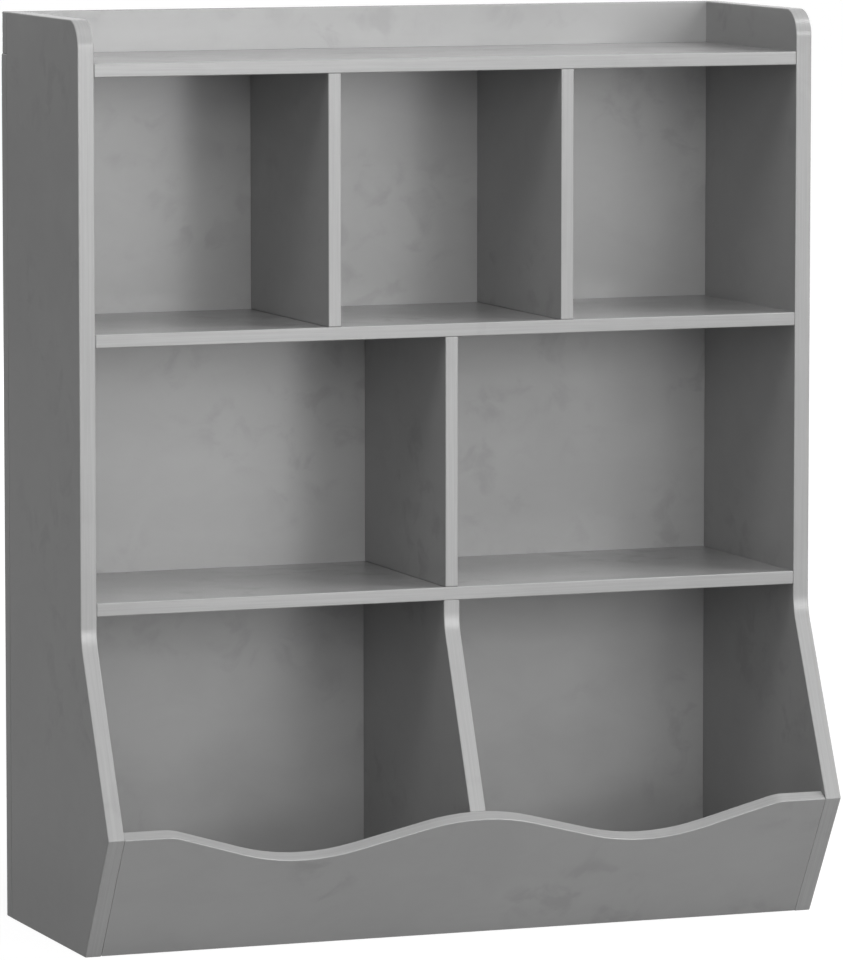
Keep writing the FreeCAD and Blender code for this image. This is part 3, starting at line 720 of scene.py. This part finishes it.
# %% Back panel and rail
SCREW_HEAD = 4 * MM
SCREW_SHANK = 2 * MM
SCREW_BORE = 2.1 * MM
SCREW_HEIGHTS = (90 * MM, 390 * MM, 690 * MM)
STRAP_ACROSS = 200 * MM
STRAP_HOLE = 1.5 * MM
STRAP_DEPTH = 9 * MM

low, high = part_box("back_panel")
back_board = high.y - low.y
screw_across = high.x - SIDE_BOARD / 2
screw_places = [(side * screw_across, up) for side in (-1, 1) for up in SCREW_HEIGHTS]
countersunk_holes = [
    (1, [circle(*place, radius) for radius in (SCREW_HEAD, SCREW_BORE, SCREW_BORE)],
     (0, SCREW_HEAD - SCREW_BORE, back_board))
    for place in screw_places]
board("back_panel", rectangle((low.x, low.z), (high.x, high.z)), back_board, (0, low.y, 0), ACROSS_BACK,
      countersunk_holes, crisp=CRISP)

low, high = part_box("back_rail")
strap_up = (low.z + high.z) / 2
strap_holes = [(1, [circle(side * STRAP_ACROSS, strap_up, STRAP_HOLE)] * 2, (0, STRAP_DEPTH))
               for side in (-1, 1)]
board("back_rail", rectangle((low.x, low.z), (high.x, high.z)), high.y - low.y, (0, low.y, 0), ACROSS_BACK,
      strap_holes, crisp=-CRISP)
print(len(boards), "boards")

# %% [markdown]
# ## Fittings
#
# Dowels, cam bolts, cam locks and screws are turned or cast, and each is drawn in a frame whose third
# axis points along it. The same drawing is repeated at every place of a group, so that a group is one
# piece.
#
# A screw thread could be modelled with the Screw modifier. Here it is a swelling of the shank: the phase
# height / pitch - angle / full turn runs once round for every turn of the thread, and the shank is
# thickest where the phase is a half.

# %% How fittings are drawn
SHANK_STEPS = 28
COARSE_STEP = math.radians(22.5)
THREAD_ROWS = 7


def frame_along(direction):
    """A right-handed frame whose third axis is the given direction."""
    out = np.array(direction, float)
    across = np.cross(Z if abs(out[2]) < 0.9 else Y, out)
    across /= np.linalg.norm(across)
    return across, np.cross(out, across), out


def draw_shank(skin, profile, thread, pitch, depth):
    """A round shank from a profile of (height, radius), with a thread from one height to another."""
    corners = np.array(profile, float)
    start, end = thread
    heights = np.union1d(corners[:, 0], np.arange(start, end, pitch / THREAD_ROWS))
    angles = full_turn(SHANK_STEPS)
    phase = (heights[:, None] / pitch - angles / (2 * math.pi)) % 1
    ridge = np.clip(1 - 3 * abs(phase - 0.5), 0, 1)
    run_out = np.clip(np.minimum(heights - start, end - heights) / pitch, 0, 1)[:, None]
    radii = np.interp(heights, *corners.T)[:, None] + depth * ridge * run_out
    return skin.wall(radii[..., None] * around(angles), heights, slot=0)


def cross_recess(reach, arm):
    """The outline of a cross: three corners of one arm, turned four times by a quarter."""
    corners = np.array([(reach, -arm / 2), (reach, arm / 2), (arm / 2, arm / 2)])
    quarter_turn = np.array([(0, 1), (-1, 0)])
    turned = [corners @ np.linalg.matrix_power(quarter_turn, quarter) for quarter in range(4)]
    return rounded_outline([(*corner, arm / 5) for corner in np.concatenate(turned)], COARSE_STEP)[0]


def draw_recessed_end(skin, rim, height, side, reach, arm, depth):
    """A flat end with a cross recess that narrows inwards. Side 1 is the far end and -1 the near one."""
    cross = cross_recess(reach, arm)[::side]
    mouth, bottom = skin.wall([cross, cross * 0.6], [height, height - side * depth], slot=0)
    skin.fill(bottom, facing=side)
    skin.fill(rim, [mouth], facing=side)


def fitting_group(name, draw, places, material, material_slot):
    """The same drawing at every place, each given as (origin, direction or axes), as one piece."""
    skin = Skin()
    for origin, axes in places:
        skin.place(origin, frame_along(axes) if np.ndim(axes) == 1 else axes)
        draw(skin)
    piece = skin.make(name, material_slot, material)
    print(name, "has", len(places), "of its kind and", len(piece.data.polygons), "faces")


print("a cross recess has", len(cross_recess(2 * MM, 0.8 * MM)), "points")

# %% [markdown]
# ## Dowels
#
# A fluted beech dowel grips its hole with its ridges. Its radius is modulated round the turn with a
# cosine, and its ends are chamfered so that it finds its hole. Each board's dowels stand in rows that are
# read from the box of their node.

# %% Dowels
DOWEL_RADIUS = 3 * MM
DOWEL_LENGTH = 30 * MM
DOWEL_CHAMFER = 0.8 * MM
DOWEL_IN_PANEL = 8 * MM
RIDGES = 12
RIDGE_DEPTH = 0.25 * MM
MID_BOARD = PANEL_BOARD / 2
LOW_RISE = 36 * MM
HIGH_RISE = 98 * MM
MIDDLE_RISE = 84 * MM


def draw_dowel(skin):
    """Radius = dowel radius - ridge depth x (1 - cos(ridges x angle)) / 2, less the chamfer at both ends."""
    angles = full_turn(8 * RIDGES)
    radii = DOWEL_RADIUS - RIDGE_DEPTH * (1 - np.cos(RIDGES * angles)) / 2
    chamfer = np.array([DOWEL_CHAMFER, 0, 0, DOWEL_CHAMFER])
    loops = (radii - chamfer[:, None])[..., None] * around(angles)
    heights = [0, DOWEL_CHAMFER, DOWEL_LENGTH - DOWEL_CHAMFER, DOWEL_LENGTH]
    near, far = skin.wall(loops, heights, slot=0)
    skin.fill(near, facing=-1)
    skin.fill(far)


def rows_of(name):
    """The rows of dowels in a lying board's ends, as (y, z), and how far from the middle they begin."""
    low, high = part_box(name)
    rows = sorted({round(y, 6) for y in (low.y + DOWEL_RADIUS, high.y - DOWEL_RADIUS)})
    return [(y, (low.z + high.z) / 2) for y in rows], high.x


def end_dowels(rows, reach):
    """Places of dowels that stand in both side panels and point to the middle."""
    return [((side * reach, y, z), -side * X) for side in (-1, 1) for y, z in rows]


dowel_foot = rows_of("upper_shelf_dowels")[1]
for name in ("top_board_dowels", "upper_shelf_dowels", "lower_shelf_dowels", "bottom_board_dowels"):
    fitting_group(name, draw_dowel, end_dowels(*rows_of(name)), BEECH, "beech")

panel_rows = [(panel_foot + UP_FACE * rise + INTO_PANEL * MID_BOARD)[1:] for rise in (LOW_RISE, HIGH_RISE)]
fitting_group("front_panel_end_dowels", draw_dowel, end_dowels(panel_rows, dowel_foot), BEECH, "beech")

middle_foot = panel_foot + UP_FACE * MIDDLE_RISE + INTO_PANEL * (PANEL_BOARD - DOWEL_IN_PANEL)
fitting_group("front_panel_middle_dowel", draw_dowel, [(middle_foot, INTO_PANEL)], BEECH, "beech")

low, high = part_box("back_rail_dowels")
rail_feet = [(side * (high.x - DOWEL_RADIUS), (low.y + high.y) / 2, low.z) for side in (-1, 1)]
fitting_group("back_rail_dowels", draw_dowel, [(foot, Z) for foot in rail_feet], BEECH, "beech")

# %% [markdown]
# ## Cam bolts and cam locks
#
# A cam bolt is screwed into the side panel and its flared head stands in the end of a board. There a cam
# lock draws it in when it is turned: a drum with a slot for the bolt, and a cross recess that a
# screwdriver reaches from below.

# %% Cam bolts and cam locks
BOLT_RADIUS = 2.5 * MM
BOLT_CORE = 1.9 * MM
BOLT_NECK = 1.7 * MM
BOLT_HEAD = 3 * MM
BOLT_GRIP = 10 * MM
BOLT_END = BOLT_GRIP + CAM_DISTANCE + 1.2 * MM
LOCK_PLATE = 2.9 * MM
LOCK_SLOT = 2.9 * MM
LOCK_CHAMFER = 0.4 * MM


def draw_cam_bolt(skin):
    """A coarse thread, a collar that stops at the board's face, a smooth shank, a neck and a flared head."""
    near, far = draw_shank(skin, [
        (0, 1.2 * MM),
        (1 * MM, BOLT_CORE),
        (BOLT_GRIP - 1 * MM, BOLT_CORE),
        (BOLT_GRIP - 0.4 * MM, BOLT_RADIUS),
        (BOLT_END - 8 * MM, BOLT_RADIUS),
        (BOLT_END - 7 * MM, BOLT_NECK),
        (BOLT_END - 2.6 * MM, BOLT_NECK),
        (BOLT_END - 0.6 * MM, BOLT_HEAD),
        (BOLT_END - 0.2 * MM, BOLT_HEAD),
        (BOLT_END, BOLT_HEAD - 0.2 * MM),
    ], (0, BOLT_GRIP - 1 * MM), 1.75 * MM, BOLT_RADIUS - BOLT_CORE)
    skin.fill(near, facing=-1)
    draw_recessed_end(skin, far, BOLT_END, 1, 1.9 * MM, 0.8 * MM, 1.4 * MM)


def slotted_plate(radius, half_slot):
    """A round plate with a slot from rim to middle: the long arc of the rim, and the slot's round end."""
    opening = math.asin(half_slot / radius)
    rim = radius * around(np.linspace(opening, 2 * math.pi - opening, CIRCLE_STEPS))
    end = half_slot * around(np.linspace(-math.pi / 2, -3 * math.pi / 2, CIRCLE_STEPS // 2))
    return np.concatenate([rim, end])


def draw_cam_lock(skin):
    """Two round plates with a slotted one between them. The lower plate has the recess."""
    radii = [CAM_RADIUS - LOCK_CHAMFER, CAM_RADIUS, CAM_RADIUS]
    near, far = skin.wall([circle(0, 0, radius) for radius in radii], [0, LOCK_CHAMFER, LOCK_PLATE], slot=0)
    skin.fill(far)
    draw_recessed_end(skin, near, 0, -1, 3.4 * MM, 1.5 * MM, 1.8 * MM)
    top_plate = CAM_LENGTH - 0.9 * MM
    for outline, start, end in ((slotted_plate(CAM_RADIUS, LOCK_SLOT), LOCK_PLATE, top_plate),
                                (circle(0, 0, CAM_RADIUS), top_plate, CAM_LENGTH)):
        near, far = skin.wall([outline] * 2, [start, end], slot=0)
        skin.fill(near, facing=-1)
        skin.fill(far)


bolt_rows = [(FRONT_ROW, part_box(name)[0].z + MID_BOARD) for name in ("top_board", "bottom_board")]
for side, name in ((-1, "left_cam_bolts"), (1, "right_cam_bolts")):
    places = [((side * (INSIDE + BOLT_GRIP), *row), -side * X) for row in bolt_rows]
    fitting_group(name, draw_cam_bolt, places, ZINC_PLATE, "zinc_plated_steel")
for name in ("top_board", "bottom_board"):
    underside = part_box(name)[0].z
    places = [((side * lock_across, FRONT_ROW, underside), (side * X, side * Y, Z)) for side in (-1, 1)]
    fitting_group(f"{name}_cam_locks", draw_cam_lock, places, CAST_ZINC, "cast_zinc")

# %% [markdown]
# ## Screws
#
# The six screws are the only fittings that show, from behind. Each has a flat countersunk head with a
# cross recess and a thread that runs out under the head and at the tip.

# %% Screws
SCREW_CORE = 1.4 * MM
SCREW_LENGTH = 38 * MM


def draw_screw(skin):
    near, far = draw_shank(skin, [
        (0, SCREW_HEAD - 0.1 * MM),
        (0.2 * MM, SCREW_HEAD - 0.1 * MM),
        (SCREW_HEAD - SCREW_SHANK, SCREW_SHANK - 0.1 * MM),
        (12 * MM, SCREW_SHANK - 0.1 * MM),
        (13 * MM, SCREW_CORE),
        (SCREW_LENGTH - 5 * MM, SCREW_CORE),
        (SCREW_LENGTH, 0.2 * MM),
    ], (12 * MM, SCREW_LENGTH - 0.5 * MM), 1.8 * MM, SCREW_SHANK - SCREW_CORE)
    skin.fill(far)
    draw_recessed_end(skin, near, 0, -1, 2.1 * MM, 0.85 * MM, 1.6 * MM)


places = [((-across, BACK + back_board, up), -Y) for across, up in screw_places]
fitting_group("back_panel_screws", draw_screw, places, ZINC_PLATE, "zinc_plated_steel")

# %% [markdown]
# ## The floor and the surround
#
# The photograph shows the cabinet on plain white. A white floor lit to full white would throw too much
# light up at the leaning front panel, so the floor is a mid grey that glows white only where the camera
# or glass looks at it, and faintly where a gloss does. Its shadow stays, because the glow is just below
# white near the cabinet and the lamps' light is added to it. Further out the glow rises to full white. The
# surround glows white wherever the camera, glass or a gloss looks at it.

# %% Floor and surround
FLOOR_SIZE = 60
FLOOR_GREY = (0.25, 0.25, 0.25, 1)
WHITE = (1, 1, 1, 1)
FLOOR_GLOW = 0.9
GLOW_NEAR, GLOW_FAR = 1.5, 3.5
FLOOR_IN_GLOSS = 0.4

path = ("Is Camera Ray", "Is Transmission Ray", "Is Glossy Ray")
corners = FLOOR_SIZE * np.array([(-1, -1, 0), (1, -1, 0), (1, 1, 0), (-1, 1, 0)])
floor_mesh = bpy.data.meshes.new("floor")
floor_mesh.from_pydata(corners.tolist(), [], [(0, 1, 2, 3)])
floor = bpy.data.objects.new("floor", floor_mesh)
bpy.context.scene.collection.objects.link(floor)

floor_material = bpy.data.materials.new("pale_floor")
floor_material.use_nodes = True
tree = floor_material.node_tree
tree.nodes.clear()
in_camera, in_glass, in_gloss = (add_node(tree, "LightPath").outputs[kind] for kind in path)
away = add_node(tree, "VectorMath", operation="LENGTH")
feed(tree, away.inputs["Vector"], add_node(tree, "TexCoord").outputs["Object"])
level = remap(tree, away.outputs["Value"], GLOW_NEAR, GLOW_FAR, FLOOR_GLOW, 1)
seen = arithmetic(tree, "MULTIPLY", arithmetic(tree, "MAXIMUM", in_camera, in_glass), level)
strength = arithmetic(tree, "MULTIPLY_ADD", in_gloss, FLOOR_IN_GLOSS, seen)
layers = add_node(tree, "AddShader")
pale = wire(tree, add_node(tree, "BsdfDiffuse"), Color=FLOOR_GREY)
feed(tree, layers.inputs[0], pale.outputs["BSDF"])
glow = wire(tree, add_node(tree, "Emission"), Color=WHITE, Strength=strength)
feed(tree, layers.inputs[1], glow.outputs["Emission"])
wire(tree, add_node(tree, "OutputMaterial"), Surface=layers.outputs["Shader"])
floor_mesh.materials.append(floor_material)

world = bpy.data.worlds.new("studio")
bpy.context.scene.world = world
world.use_nodes = True
tree = world.node_tree
in_camera, in_glass, in_gloss = (add_node(tree, "LightPath").outputs[kind] for kind in path)
seen = arithmetic(tree, "MAXIMUM", arithmetic(tree, "MAXIMUM", in_camera, in_glass), in_gloss)
wire(tree, tree.nodes["Background"], Color=WHITE, Strength=seen)
print("floor and surround")

# %% [markdown]
# ## The lamps
#
# The shadows in the photograph tell where its light comes from. The cubbies are lit right to their backs,
# so most light comes from low in front. The shelves' tops are darker than the front edges, so only a
# little comes from above, most of it from the right. Each source is a softbox, because small lamps would
# draw sharp shadows that the photograph does not have.
#
# The right part of every back is dimmer behind a soft upright boundary. That is no shadow but a gloss:
# to the left of it the satin foil mirrors something bright in front, and to the right of it the dark
# face of the next divider. A small lamp near the floor stands where that mirror image has to come from.
# One lamp behind the cabinet lights its back, for views from there.

# %% Lamps
FAR = 6


def softbox(name, azimuth, elevation, width, height, power, distance=FAR):
    """A rectangular lamp that faces the cabinet's middle. Azimuth 0 is the front, and grows to the right."""
    data = bpy.data.lights.new(name, "AREA")
    data.shape = "RECTANGLE"
    data.size, data.size_y, data.energy = width, height, power
    lamp = bpy.data.objects.new(name, data)
    turn, rise = math.radians(azimuth), math.radians(elevation)
    towards = Vector((math.sin(turn) * math.cos(rise), -math.cos(turn) * math.cos(rise), math.sin(rise)))
    lamp.location = Vector((0, 0, HEIGHT / 2)) + towards * distance
    lamp.rotation_euler = towards.to_track_quat("Z", "Y").to_euler()
    bpy.context.scene.collection.objects.link(lamp)


softbox("front_low", 5, 3, 2.8, 0.8, 44)
softbox("front_left", -6, 12, 1.2, 1.2, 54)
softbox("front_right", 22, 10, 2.4, 1.4, 64)
softbox("above_front", -10, 24, 4.0, 1.6, 53)
softbox("high_right", 65, 45, 3.0, 3.0, 190)
softbox("high_left", -45, 55, 4.0, 3.0, 95)
softbox("gleam", 15, -6, 0.4, 0.35, 1.4, distance=2)
softbox("rear", 177, 5, 1.2, 0.8, 70)
print("eight softboxes")
